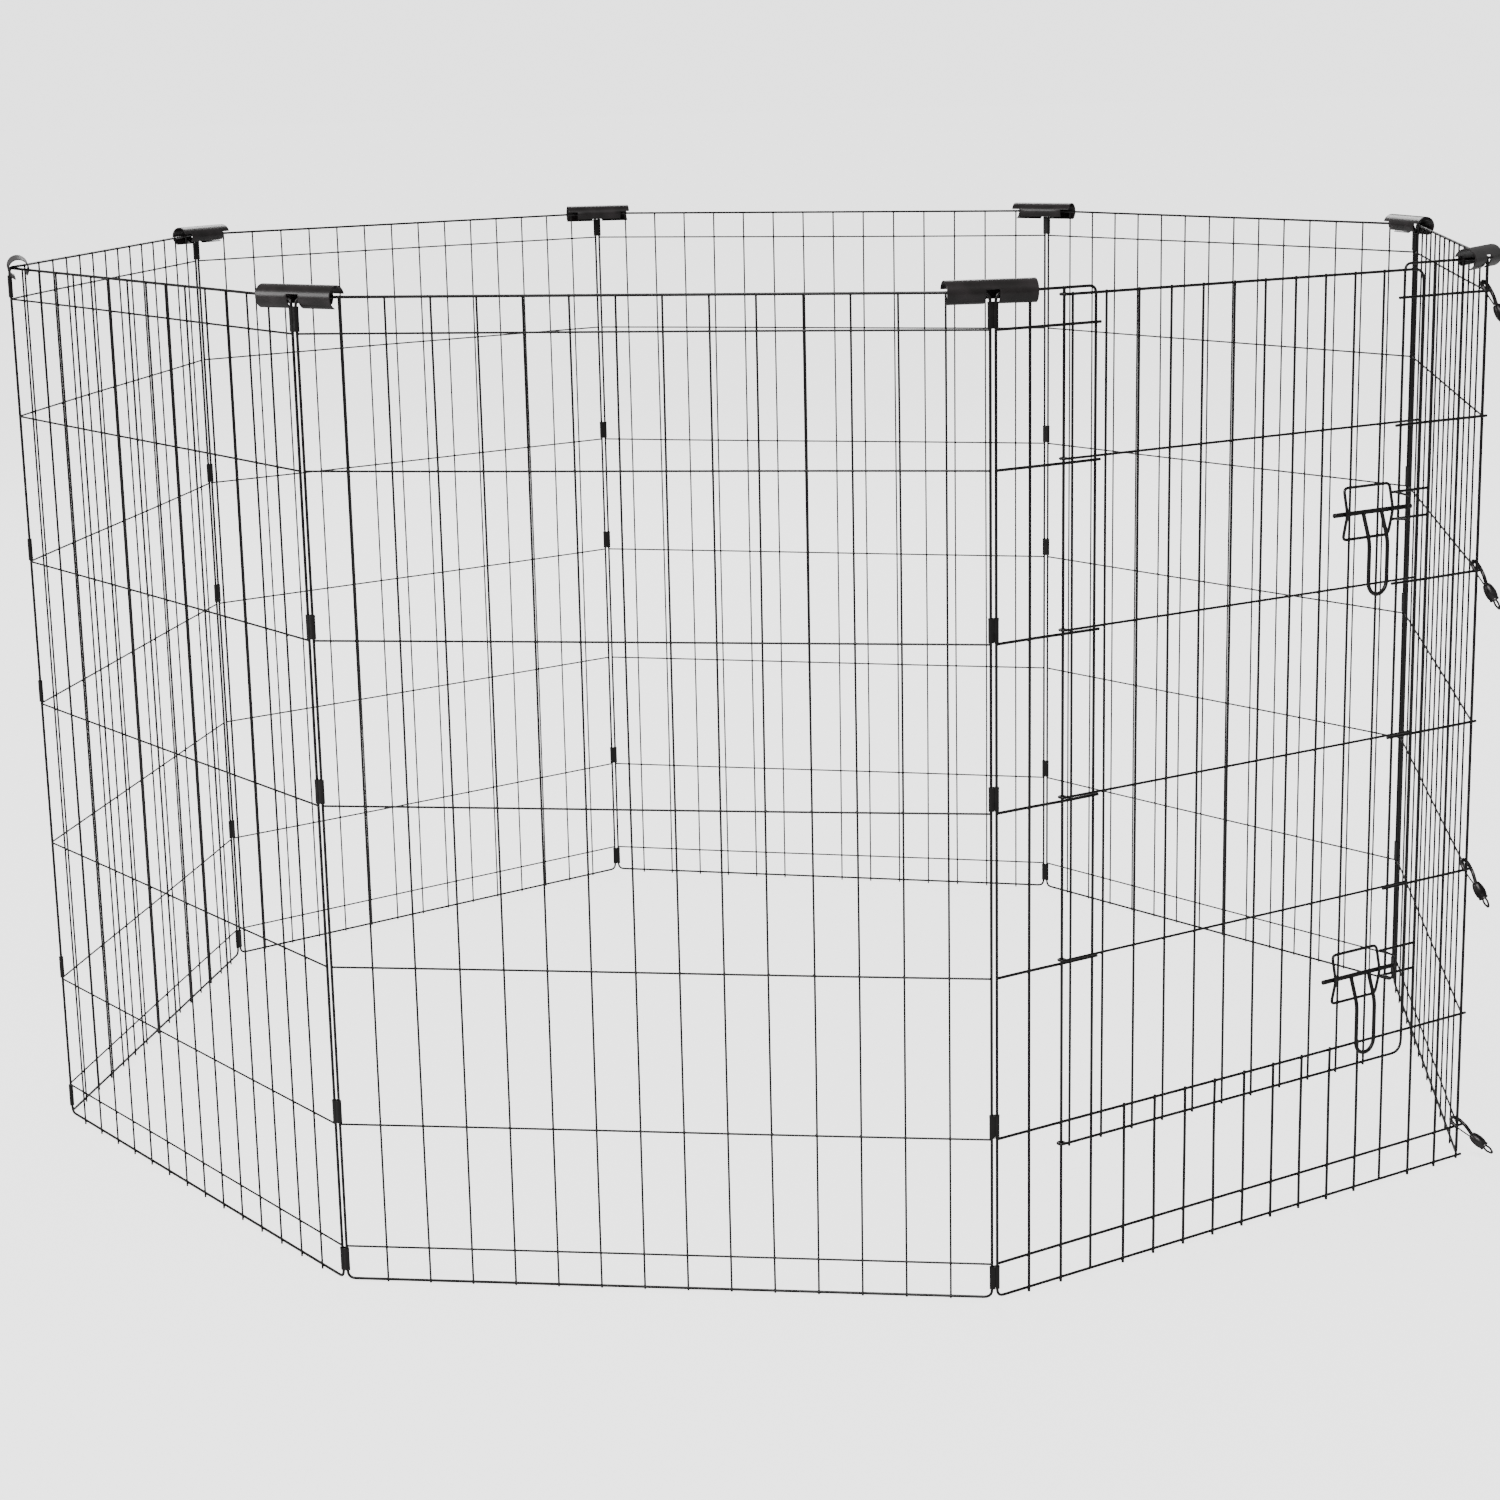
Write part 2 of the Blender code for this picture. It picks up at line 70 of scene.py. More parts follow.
def near_post(corner):
    return Vector((*joints[f"fold_{corner}"]["pos_m"][:2], 0))


def far_post(corner):
    low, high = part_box(f"sleeve_{corner}1")
    middle = (Vector(low) + Vector(high)) / 2
    return Vector((2 * middle.x, 2 * middle.y, 0)) - near_post(corner)


def heading(start, end):
    return math.atan2(end.y - start.y, end.x - start.x)


posts = {
    "panel_8": (far_post("h"), near_post("a")),
    "panel_7": (far_post("g"), near_post("h")),
    "panel_6": (near_post("f"), near_post("g")),
    "panel_5": (near_post("e"), far_post("f")),
    "panel_4": (near_post("d"), far_post("e")),
    "panel_3": (near_post("c"), far_post("d")),
}
WIDTH = (posts["panel_6"][1] - posts["panel_6"][0]).length
posts["door_panel"] = (far_post("a"), far_post("a") + Vector((WIDTH, 0, 0)))
along_2 = Vector((math.cos(HEADING_2), math.sin(HEADING_2), 0))
posts["panel_2"] = (far_post("c") - WIDTH * along_2, far_post("c"))
POST_GAP = (far_post("c") - near_post("c")).length
INSET = POST_GAP / 2 / math.cos(math.radians(22.5))  # from a panel's corner point to its post
PITCH = WIDTH + 2 * INSET
print(f"panel width {WIDTH:.4f} m, post to post at a corner {POST_GAP * 1000:.1f} mm")

# %% [markdown]
# Nearly everything in the pen is bent wire.  A curve with a round bevel would give a wire too, but
# its caps are flat and it can't be joined to beads and sheet in one mesh.  So a wire here is a
# circle pulled along a path with extrude.  At each point the ring is turned by just the angle
# between the last direction and the next, so it never twists.  Cut ends get a small bevel, which
# is what catches the light on real wire ends.


# %% The wire tool
def at(place, turn=0.0, height=0.0):
    return Matrix.Translation((place.x, place.y, height)) @ Matrix.Rotation(turn, 4, "Z")


def ring_edges(verts):
    found = set(verts)
    edges = []
    for v in verts:
        for e in v.link_edges:
            other = e.other_vert(v)
            if other in found and v.index <= other.index:
                edges.append(e)
    return edges


def pull(bm, ring, move):
    """Extrudes a ring of vertices once and moves the new ring."""
    bm.verts.index_update()
    made = bmesh.ops.extrude_edge_only(bm, edges=ring_edges(ring))["geom"]
    new = [g for g in made if isinstance(g, bmesh.types.BMVert)]
    bmesh.ops.transform(bm, matrix=move, verts=new)
    return new


def shrink(place, direction, step, factor):
    """Moves a ring on by a step and makes it smaller, for a bevelled end."""
    to_origin = Matrix.Translation(-place)
    return Matrix.Translation(place + direction * step) @ Matrix.Scale(factor, 4) @ to_origin


def wire(bm, points, radius, closed=False, sides=10):
    points = [Vector(p) for p in points]
    count = len(points)
    ways = []
    for i in range(count):
        if closed:
            onward, so_far = points[(i + 1) % count] - points[i], points[i] - points[i - 1]
            way = onward.normalized() + so_far.normalized()
        else:
            way = points[min(i + 1, count - 1)] - points[max(i - 1, 0)]
        ways.append(way.normalized())
    facing = Vector((0, 0, 1)).rotation_difference(ways[0]).to_matrix().to_4x4()
    start = Matrix.Translation(points[0]) @ facing
    first = bmesh.ops.create_circle(bm, segments=sides, radius=radius, matrix=start)["verts"]
    ring = first
    for i in range(1, count):
        turn = ways[i - 1].rotation_difference(ways[i]).to_matrix().to_4x4()
        ring = pull(bm, ring, Matrix.Translation(points[i]) @ turn @ Matrix.Translation(-points[i - 1]))
    bm.verts.index_update()
    if closed:
        bmesh.ops.bridge_loops(bm, edges=ring_edges(first) + ring_edges(ring))
        return
    for end, place, way in ((first, points[0], -ways[0]), (ring, points[-1], ways[-1])):
        tip = pull(bm, end, shrink(place, way, 0.3 * radius, 0.7))
        bm.verts.index_update()
        bmesh.ops.edgeloop_fill(bm, edges=ring_edges(tip))


def rounded(points, radius, steps=4, closed=False):
    """The same path with each corner replaced by a smooth curve that starts radius before it."""
    points = [Vector(p) for p in points]
    count = len(points)
    path = []
    for i, corner in enumerate(points):
        if not closed and i in (0, count - 1):
            path.append(corner)
            continue
        before, after = points[i - 1] - corner, points[(i + 1) % count] - corner
        reach = min(radius, 0.45 * before.length, 0.45 * after.length)
        a, b = corner + before.normalized() * reach, corner + after.normalized() * reach
        for step in range(steps + 1):
            t = step / steps
            path.append(a * (1 - t) ** 2 + corner * 2 * t * (1 - t) + b * t ** 2)
    return path


def swayed(a, b, side, amount, draws, steps=8):
    """A long wire is never quite straight: this bows it a little to one side."""
    a, b, side = Vector(a), Vector(b), Vector(side)
    bow, wave = draws.uniform(-amount, amount), draws.uniform(-amount, amount) / 2
    return [
        a.lerp(b, t) + side * (bow * math.sin(math.pi * t) + wave * math.sin(2 * math.pi * t))
        for t in (i / steps for i in range(steps + 1))
    ]


# %% [markdown]
# Where two wires cross they are spot-welded: current and pressure push a little molten steel out
# round the crossing, and the coating rounds it off.  A Boolean with a fillet would cost minutes
# over nearly a thousand crossings, and from here nobody could tell, so a small flattened sphere
# stands in each crossing instead.


# %% Welds
def weld(bm, place, across, size):
    """A bead at a crossing, flattened along the direction in which the wires were pressed."""
    flat = Vector((0, 0, 1)).rotation_difference(Vector(across)).to_matrix().to_4x4()
    squash = Matrix.Diagonal((1, 1, 0.62, 1))
    bmesh.ops.create_uvsphere(
        bm, u_segments=8, v_segments=5, radius=size, matrix=Matrix.Translation(place) @ flat @ squash,
    )


def finish_piece(bm, name, body, material, place=None, stands_for=()):
    """Turns a bmesh into a named piece with its place in its mesh, riding on a body."""
    bmesh.ops.remove_doubles(bm, verts=bm.verts, dist=1e-6)
    bmesh.ops.recalc_face_normals(bm, faces=bm.faces)
    if place:
        bmesh.ops.transform(bm, matrix=place, verts=bm.verts)
    mesh = bpy.data.meshes.new(name)
    bm.to_mesh(mesh)
    bm.free()
    mesh.materials.append(material)
    mesh.shade_smooth()
    mesh.set_sharp_from_angle(angle=math.radians(42))
    piece = bpy.data.objects.new(name, mesh)
    bpy.context.collection.objects.link(piece)
    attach(piece, body)
    if stands_for:
        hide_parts(*stands_for)
    return piece


# %% [markdown]
# Three finishes cover the pen.  The wire has a thin satin black dip coat, with a faint orange
# peel, thicker and glossier where it pooled.  The edge caps have the same coat over rolled sheet,
# a little browner.  The snap hooks are dark plated steel.  What they share - slow changes of tone,
# fine grain and a little dust on faces that look up - is one node group, used with its own
# values in each.


# %% The shared surface group
def surface_group():
    group = bpy.data.node_groups.new("coat_variation", "ShaderNodeTree")
    sockets = group.interface
    for name, kind, default in (
        ("Colour", "NodeSocketColor", (0.02, 0.02, 0.02, 1)),
        ("Worn Colour", "NodeSocketColor", (0.05, 0.05, 0.05, 1)),
        ("Patch Scale", "NodeSocketFloat", 40.0),
        ("Grain Scale", "NodeSocketFloat", 900.0),
        ("Roughness Low", "NodeSocketFloat", 0.3),
        ("Roughness High", "NodeSocketFloat", 0.45),
        ("Dust", "NodeSocketFloat", 0.1),
    ):
        socket = sockets.new_socket(name, in_out="INPUT", socket_type=kind)
        socket.default_value = default
    for name, kind in (
        ("Colour", "NodeSocketColor"),
        ("Roughness", "NodeSocketFloat"),
        ("Height", "NodeSocketFloat"),
    ):
        sockets.new_socket(name, in_out="OUTPUT", socket_type=kind)
    nodes, links = group.nodes, group.links
    given, out = nodes.new("NodeGroupInput"), nodes.new("NodeGroupOutput")
    where = nodes.new("ShaderNodeTexCoord")

    def noise(scale, detail):
        made = nodes.new("ShaderNodeTexNoise")
        made.inputs["Detail"].default_value = detail
        links.new(where.outputs["Object"], made.inputs["Vector"])
        links.new(given.outputs[scale], made.inputs["Scale"])
        return made

    patches, grain = noise("Patch Scale", 4), noise("Grain Scale", 2)
    spread = nodes.new("ShaderNodeMapRange")
    spread.inputs["From Min"].default_value = 0.38
    spread.inputs["From Max"].default_value = 0.66
    links.new(patches.outputs["Fac"], spread.inputs["Value"])
    tone = nodes.new("ShaderNodeMix")
    tone.data_type = "RGBA"
    links.new(spread.outputs["Result"], tone.inputs["Factor"])
    links.new(given.outputs["Colour"], tone.inputs["A"])
    links.new(given.outputs["Worn Colour"], tone.inputs["B"])
    # dust lies on faces that look up
    geometry = nodes.new("ShaderNodeNewGeometry")
    split = nodes.new("ShaderNodeSeparateXYZ")
    links.new(geometry.outputs["Normal"], split.inputs["Vector"])
    upward = nodes.new("ShaderNodeMapRange")
    upward.inputs["From Min"].default_value = 0.55
    links.new(split.outputs["Z"], upward.inputs["Value"])
    amount = nodes.new("ShaderNodeMath")
    amount.operation = "MULTIPLY"
    links.new(upward.outputs["Result"], amount.inputs[0])
    links.new(given.outputs["Dust"], amount.inputs[1])
    dusty = nodes.new("ShaderNodeMix")
    dusty.data_type = "RGBA"
    dusty.inputs["B"].default_value = (0.42, 0.40, 0.39, 1)
    links.new(amount.outputs["Value"], dusty.inputs["Factor"])
    links.new(tone.outputs["Result"], dusty.inputs["A"])
    links.new(dusty.outputs["Result"], out.inputs["Colour"])
    rough = nodes.new("ShaderNodeMapRange")
    links.new(grain.outputs["Fac"], rough.inputs["Value"])
    links.new(given.outputs["Roughness Low"], rough.inputs["To Min"])
    links.new(given.outputs["Roughness High"], rough.inputs["To Max"])
    links.new(rough.outputs["Result"], out.inputs["Roughness"])
    links.new(grain.outputs["Fac"], out.inputs["Height"])
    return group


SURFACE = surface_group()
print("shared group with", len(SURFACE.nodes), "nodes")


# %% The finishes
def finish(name, colour, worn, patch, grain, rough, dust, metallic, bump, coat=0.0):
    made = bpy.data.materials.new(name)
    made.use_nodes = True
    nodes, links = made.node_tree.nodes, made.node_tree.links
    shader = nodes["Principled BSDF"]
    surface = nodes.new("ShaderNodeGroup")
    surface.node_tree = SURFACE
    surface.inputs["Colour"].default_value = (*colour, 1)
    surface.inputs["Worn Colour"].default_value = (*worn, 1)
    surface.inputs["Patch Scale"].default_value = patch
    surface.inputs["Grain Scale"].default_value = grain
    surface.inputs["Roughness Low"].default_value, surface.inputs["Roughness High"].default_value = rough
    surface.inputs["Dust"].default_value = dust
    relief = nodes.new("ShaderNodeBump")
    relief.inputs["Strength"].default_value = bump
    relief.inputs["Distance"].default_value = 0.0002
    links.new(surface.outputs["Colour"], shader.inputs["Base Color"])
    links.new(surface.outputs["Roughness"], shader.inputs["Roughness"])
    links.new(surface.outputs["Height"], relief.inputs["Height"])
    links.new(relief.outputs["Normal"], shader.inputs["Normal"])
    shader.inputs["Metallic"].default_value = metallic
    shader.inputs["Specular IOR Level"].default_value = 0.35
    shader.inputs["Coat Weight"].default_value = coat
    shader.inputs["Coat Roughness"].default_value = 0.18
    return made


WIRE_COAT = finish(
    "wire_coat", colour=(0.003, 0.0025, 0.0025), worn=(0.007, 0.0055, 0.0055), patch=45, grain=1400,
    rough=(0.24, 0.40), dust=0.006, metallic=0.0, bump=0.25, coat=0.12,
)
CAP_COAT = finish(
    "cap_coat", colour=(0.010, 0.008, 0.008), worn=(0.024, 0.019, 0.020), patch=60, grain=900,
    rough=(0.30, 0.46), dust=0.012, metallic=0.0, bump=0.15, coat=0.2,
)
SNAP_STEEL = finish(
    "snap_steel", colour=(0.030, 0.028, 0.029), worn=(0.085, 0.080, 0.080), patch=120, grain=1600,
    rough=(0.22, 0.40), dust=0.0, metallic=0.9, bump=0.35,
)
print("finishes:", WIRE_COAT.name, CAP_COAT.name, SNAP_STEEL.name)

# %% [markdown]
# A plain panel is one outline wire bent round at its corners, fourteen uprights laid over one face
# of it, and seven rows between the posts.  Array modifiers could repeat the wires, but real wires
# are never quite straight, so each is pulled on its own with a little random bow.  Every second
# panel is turned round, uprights outside, because that lets neighbours fold flat.

# %% Plain panels
BEND_R = 7.5 * MM
UPRIGHT_GAPS = 15
LAP = FRAME_R + WIRE_R - SINK
ROW_LAP = LAP - (2 * WIRE_R - SINK)  # rows sit a little towards the uprights, so that they are pressed in too


def box_path(left, right, low, high, y, bend):
    corners = [(left, y, low), (right, y, low), (right, y, high), (left, y, high)]
    return rounded(corners, bend, 5, closed=True)


def straight_sides(path, longest=0.09):
    """Adds points along the long sides, so that the light runs evenly along them."""
    out = []
    for i, point in enumerate(path):
        nxt = path[(i + 1) % len(path)]
        parts = max(1, int((nxt - point).length / longest))
        out += [point.lerp(nxt, k / parts) for k in range(parts)]
    return out


def straight_open(path, longest=0.09):
    out = []
    for point, nxt in zip(path, path[1:]):
        parts = max(1, int((nxt - point).length / longest))
        out += [point.lerp(nxt, k / parts) for k in range(parts)]
    return out + [path[-1]]


def plain_panel(name, draws):
    bm = bmesh.new()
    wire(bm, straight_sides(box_path(0, WIDTH, BOTTOM, TOP, 0, BEND_R)), FRAME_R, closed=True, sides=12)
    for row in ROWS:
        wire(bm, swayed((0, ROW_LAP, row), (WIDTH, ROW_LAP, row), (0, 0, 1), 0.5 * MM, draws), WIRE_R)
    for i in range(1, UPRIGHT_GAPS):
        x = i * PITCH / UPRIGHT_GAPS - INSET
        wire(bm, swayed((x, LAP, 0.3 * MM), (x, LAP, TOP + 0.9 * MM), (1, 0, 0), 0.7 * MM, draws), WIRE_R)
        for z in (BOTTOM, TOP, *ROWS):
            weld(bm, (x, LAP / 2 + 0.3 * MM, z), (0, 1, 0), 1.45 * MM)
    start, end = posts[name]
    place = at(start, heading(start, end))
    if int(name[-1]) % 2:
        place = at(end, heading(end, start))
    return finish_piece(bm, name + "_wires", name, WIRE_COAT, place, [name])


draws = random.Random(4)
for number in range(2, 9):
    made = plain_panel(f"panel_{number}", draws)
print("seven plain panels,", len(made.data.polygons), "faces each")

# %% [markdown]
# The door panel is the same idea in stouter wire, with a doorway left out.  The top wire bends
# down beside the doorway into an edge wire.  Two short wires by the right edge carry a bent loop,
# the keeper, which stands out through the door and catches the bolt.

# %% Door panel sizes
STEP = 38.1 * MM
EDGE_LEFT, EDGE_RIGHT = 3 * STEP - INSET, 13 * STEP - INSET
STOUT_LAP = FRAME_R + STOUT_R - SINK
SILL = ROWS[1]
OVERSHOOT = 7 * MM
KEEPER_X, KEEPER_RISE = 490 * MM - INSET, 13 * MM
hinge = Vector(joints["door_swing"]["pos_m"])
door_start = posts["door_panel"][0]
bolts = {name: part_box(f"{name}_bolt_rod") for name in ("lower", "upper")}
latch_z = {name: (box[0][2] + box[1][2]) / 2 for name, box in bolts.items()}
ROD_R = (bolts["lower"][1][2] - bolts["lower"][0][2]) / 2
ROD_Y = bolts["lower"][0][1] + ROD_R - door_start.y
ROD_X = (bolts["lower"][0][0] - door_start.x, bolts["lower"][1][0] - door_start.x)
print("latch heights", {name: round(z, 4) for name, z in latch_z.items()}, "rod", round(ROD_Y, 4))


# %% Door panel
def keeper(bm, height):
    wire_r = 1.2 * MM
    for side in (-1, 1):
        z = height + side * KEEPER_RISE
        wire(bm, [(EDGE_RIGHT - 8 * MM, 0.3 * MM, z), (14 * STEP - INSET + 2.5 * MM, 0.3 * MM, z)], STOUT_R)
    notch, bump = ROD_Y - ROD_R - 1.6 * MM, ROD_Y - ROD_R - 3.6 * MM
    shoulder = KEEPER_RISE - 1.5 * MM
    path = [
        (KEEPER_X, 2 * MM, -KEEPER_RISE), (KEEPER_X, bump, -shoulder), (KEEPER_X, bump, -4 * MM),
        (KEEPER_X, notch, 0), (KEEPER_X, bump, 4 * MM), (KEEPER_X, bump, shoulder),
        (KEEPER_X, 2 * MM, KEEPER_RISE),
    ]
    wire(bm, [p + Vector((0, 0, height)) for p in rounded(path, 4 * MM)], wire_r)


def door_panel():
    bm = bmesh.new()
    out = WIDTH + OVERSHOOT
    near = [(out, 0, BOTTOM), (0, 0, BOTTOM), (0, 0, TOP), (EDGE_LEFT, 0, TOP), (EDGE_LEFT, 0, BOTTOM)]
    wire(bm, straight_open(rounded(near, BEND_R, 5)), FRAME_R, sides=12)
    far = [(EDGE_RIGHT, 0, BOTTOM), (EDGE_RIGHT, 0, TOP), (out, 0, TOP)]
    wire(bm, straight_open(rounded(far, BEND_R, 5)), FRAME_R, sides=12)
    end_post = swayed((WIDTH, 0, 0.5 * MM), (WIDTH, 0, TOP + FRAME_R), (1, 0, 0), 0.2 * MM, draws)
    wire(bm, end_post, FRAME_R, sides=12)
    row_y = 0.3 * MM
    for row in ROWS:
        spans = [(0, out)] if row <= SILL else [(0, EDGE_LEFT + 6 * MM), (EDGE_RIGHT - 6 * MM, out)]
        for left, right in spans:
            wire(bm, swayed((left, row_y, row), (right, row_y, row), (0, 0, 1), 0.3 * MM, draws), STOUT_R)
    for i in range(1, 16):
        if i in (3, 13):
            continue
        x = i * STEP - INSET
        inside = 3 < i < 13
        head = SILL + 3 * MM if inside else TOP + 0.9 * MM
        foot = (x, -STOUT_LAP, 0.3 * MM)
        wire(bm, swayed(foot, (x, -STOUT_LAP, head), (1, 0, 0), 0.4 * MM, draws), STOUT_R)
        for z in (BOTTOM, *ROWS[: 2 if inside else 7]) + (() if inside else (TOP,)):
            weld(bm, (x, -STOUT_LAP / 2, z), (0, 1, 0), 1.8 * MM)
    for height in latch_z.values():
        keeper(bm, height)
    return finish_piece(
        bm, "door_panel_wires", "door_panel", WIRE_COAT, at(door_start), ["door_panel"],
    )


print("door panel,", len(door_panel().data.polygons), "faces")

# %% [markdown]
# The door hangs on one long upright of the panel.  Its outline is one wire, and both ends of that
# wire and the left end of every row are bent round the upright as hooks.  Its bars lie on the
# outside, and a bent wire bracket on the last two holds each bolt.

# %% Door
DOOR_R, DOOR_ROW_R, DOOR_BAR_R, LOOP_R = 1.4 * MM, 1.2 * MM, 1.2 * MM, 3.2 * MM
door_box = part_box("door")
DOOR_FOOT, DOOR_HEAD = 136 * MM, 909 * MM
BAR_END = 1.7 * MM  # the bars run this far past the outline
DOOR_RIGHT = door_box[1][0] - door_start.x - DOOR_R
HINGE_X, HINGE_Y = hinge.x - door_start.x, hinge.y - door_start.y
DOOR_LEFT = HINGE_X + 4.8 * MM
DOOR_Y = HINGE_Y - LOOP_R
BAR_Y = DOOR_Y - DOOR_R - DOOR_BAR_R + 0.1 * MM
DOOR_LAST, DOOR_STEP, DOOR_BARS = 459.5 * MM - INSET, 37.8 * MM, 10
BRACKET_X, BRACKET_RISE = (411 * MM - INSET, 471 * MM - INSET), 24.5 * MM


def hook(height):
    """The end of a wire, bent round the hinge wire."""
    turns = [math.radians(-90 - 300 * i / 16) for i in range(17)]
    return [Vector((HINGE_X + LOOP_R * math.cos(a), HINGE_Y + LOOP_R * math.sin(a), height)) for a in turns]


def outline(bm):
    start = HINGE_X + 20 * MM
    corners = [(start, DOOR_Y, DOOR_FOOT), (DOOR_RIGHT, DOOR_Y, DOOR_FOOT), (DOOR_RIGHT, DOOR_Y, DOOR_HEAD),
               (start, DOOR_Y, DOOR_HEAD)]
    path = hook(DOOR_FOOT)[::-1] + rounded(corners, 13 * MM, 6) + hook(DOOR_HEAD)
    wire(bm, straight_open(path), DOOR_R, sides=12)


def bracket(bm, height):
    flat, peak = BAR_Y - 2.5 * MM, ROD_Y - ROD_R - 0.4 * MM - 1.5 * MM
    left, right = BRACKET_X
    low, high = height - BRACKET_RISE, height + BRACKET_RISE
    path = [
        (left, flat, low), (right, flat, low), (right, peak, height),
        (right, flat, high), (left, flat, high), (left, peak, height),
    ]
    wire(bm, rounded(path, 5 * MM, closed=True), 1.5 * MM, closed=True)
    for x in (DOOR_LAST, DOOR_LAST - DOOR_STEP):
        for z in (low, high):
            weld(bm, (x, (flat + BAR_Y) / 2, z), (0, 1, 0), 1.7 * MM)


def door():
    bm = bmesh.new()
    outline(bm)
    rows = [row + 4.5 * MM for row in ROWS[2:6]]
    bars = [DOOR_LAST - i * DOOR_STEP for i in range(DOOR_BARS)] + [DOOR_LEFT]
    for x in bars:
        foot, head = (x, BAR_Y, DOOR_FOOT - BAR_END), (x, BAR_Y, DOOR_HEAD + BAR_END)
        wire(bm, swayed(foot, head, (1, 0, 0), 0.5 * MM, draws), DOOR_BAR_R)
        for z in (DOOR_FOOT, DOOR_HEAD, *rows):
            weld(bm, (x, (BAR_Y + DOOR_Y) / 2, z), (0, 1, 0), 1.6 * MM)
    for row in rows:
        wire(bm, straight_open([Vector((DOOR_RIGHT, DOOR_Y, row))] + hook(row)), DOOR_ROW_R)
    for height in latch_z.values():
        bracket(bm, height)
    return finish_piece(bm, "door_wires", "door", WIRE_COAT, at(door_start), ["door"])


print("door,", len(door().data.polygons), "faces")

# %% [markdown]
# A bolt is a short thick rod with a long loop welded to it as a handle.  The loop stands off over
# the bracket and hangs down in front of it.  Rod and handle are two pieces, because the handle
# turns about the rod, and the loop's ends run a little way into the rod, so they stay joined.

# %% Bolts
HANDLE_R, HANDLE_HALF, HANDLE_OUT, KNEE = 2.0 * MM, 12 * MM, -10 * MM, 27 * MM
ROD_TIP = 0.7 * MM  # length of the bevel at a rod's end


def bolt(name):
    z = latch_z[name]
    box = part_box(f"{name}_bolt_handle")
    middle = (box[0][0] + box[1][0]) / 2
    drop = z - box[0][2] - HANDLE_R
    rod = bmesh.new()
    ends = (ROD_X[0] + ROD_TIP, sum(ROD_X) / 2, ROD_X[1] - ROD_TIP)
    wire(rod, [(x, ROD_Y, z) for x in ends], ROD_R, sides=20)
    finish_piece(
        rod, f"{name}_rod", f"{name}_bolt", WIRE_COAT, at(door_start), [f"{name}_bolt_rod"],
    )
    x = middle - door_start.x
    half = HANDLE_HALF
    leg = [(half, -1.2 * MM, -1.6 * MM), (half, HANDLE_OUT, -KNEE)]
    half_turn = [math.pi * i / 12 for i in range(13)]
    bend = [(half * math.cos(a), HANDLE_OUT, -(drop - half) - half * math.sin(a)) for a in half_turn]
    path = [Vector(p) for p in leg + bend + [(-px, py, pz) for px, py, pz in reversed(leg)]]
    handle = bmesh.new()
    wire(handle, straight_open(rounded_ends(path), 0.02), HANDLE_R, sides=14)
    for side in (-1, 1):
        weld(handle, (side * half, -1.6 * MM, -1.8 * MM), (1, 0, 0), 2.6 * MM)
    bmesh.ops.translate(handle, vec=(x, ROD_Y, z), verts=handle.verts)
    finish_piece(
        handle, f"{name}_handle_loop", f"{name}_handle", WIRE_COAT, at(door_start),
        [f"{name}_bolt_handle"],
    )


def rounded_ends(path):
    """Rounds the two knees of the handle and leaves its bottom bend as it is."""
    head, tail = rounded(path[:3], 7 * MM), rounded(path[-3:], 7 * MM)
    return head[:-1] + path[2:-2] + tail[1:]


for name in latch_z:
    bolt(name)
print("two bolts, rod radius", round(ROD_R * 1000, 2), "mm")

# %% [markdown]
# A sleeve is a strip of sheet folded round both posts until its edges meet in a seam on the
# outside, then pinched once so that it can't spring open.  Rolled from a half-round profile, its
# top is left a little flared.  Five sit at each hinged corner.

# %% Sleeves
SLEEVE_WALL, SLEEVE_CLEAR = 0.7 * MM, 0.3 * MM
SLEEVE_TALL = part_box("sleeve_a1")[1][2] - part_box("sleeve_a1")[0][2]
EXTRA_SLEEVE = ROWS[3] + 2.3 * MM
corner_posts = {c: (near_post(c), far_post(c)) for c in "acdefgh"}


def sleeve_bmesh():
    """Round two posts on the X axis; the seam is on -Y."""
    radius = FRAME_R + SLEEVE_CLEAR + SLEEVE_WALL
    half = POST_GAP / 2
    turns = [math.radians(-90 + 180 * i / 8) for i in range(9)]
    right = [(half + radius * math.cos(a), radius * math.sin(a)) for a in turns]
    seam = [(0.12 * MM, -radius + 0.15 * MM), (0.8 * MM, -radius)]
    side = seam + right + [(1.2 * MM, radius)]
    profile = side + [(-x, y) for x, y in reversed(side)]
    bm = bmesh.new()
    line = [bm.verts.new((x, y, 0)) for x, y in profile]
    edges = [bm.edges.new(pair) for pair in zip(line, line[1:])]
    levels = [0.0, 0.04, 0.25, 0.36, 0.42, 0.48, 0.6, 0.85, 0.96, 1.0]
    ring = edges
    for low, high in zip(levels, levels[1:]):
        made = bmesh.ops.extrude_edge_only(bm, edges=ring)["geom"]
        new = [g for g in made if isinstance(g, bmesh.types.BMVert)]
        ring = [g for g in made if isinstance(g, bmesh.types.BMEdge)]
        bmesh.ops.translate(bm, vec=(0, 0, (high - low) * SLEEVE_TALL), verts=new)
    for v in bm.verts:
        level = v.co.z / SLEEVE_TALL
        if level > 0.9:  # the flared top
            v.co.x *= 1 + 0.5 * (level - 0.9)
        if abs(v.co.x) < 2 * MM and v.co.y < 0 and 0.34 < level < 0.5:  # the pinch
            v.co.y += 0.35 * MM
    bmesh.ops.recalc_face_normals(bm, faces=bm.faces)
    outward = max(bm.faces, key=lambda f: f.calc_center_median().x)
    if outward.normal.x < 0:
        bmesh.ops.reverse_faces(bm, faces=bm.faces)
    bmesh.ops.solidify(bm, geom=bm.faces[:], thickness=SLEEVE_WALL)
    return bm


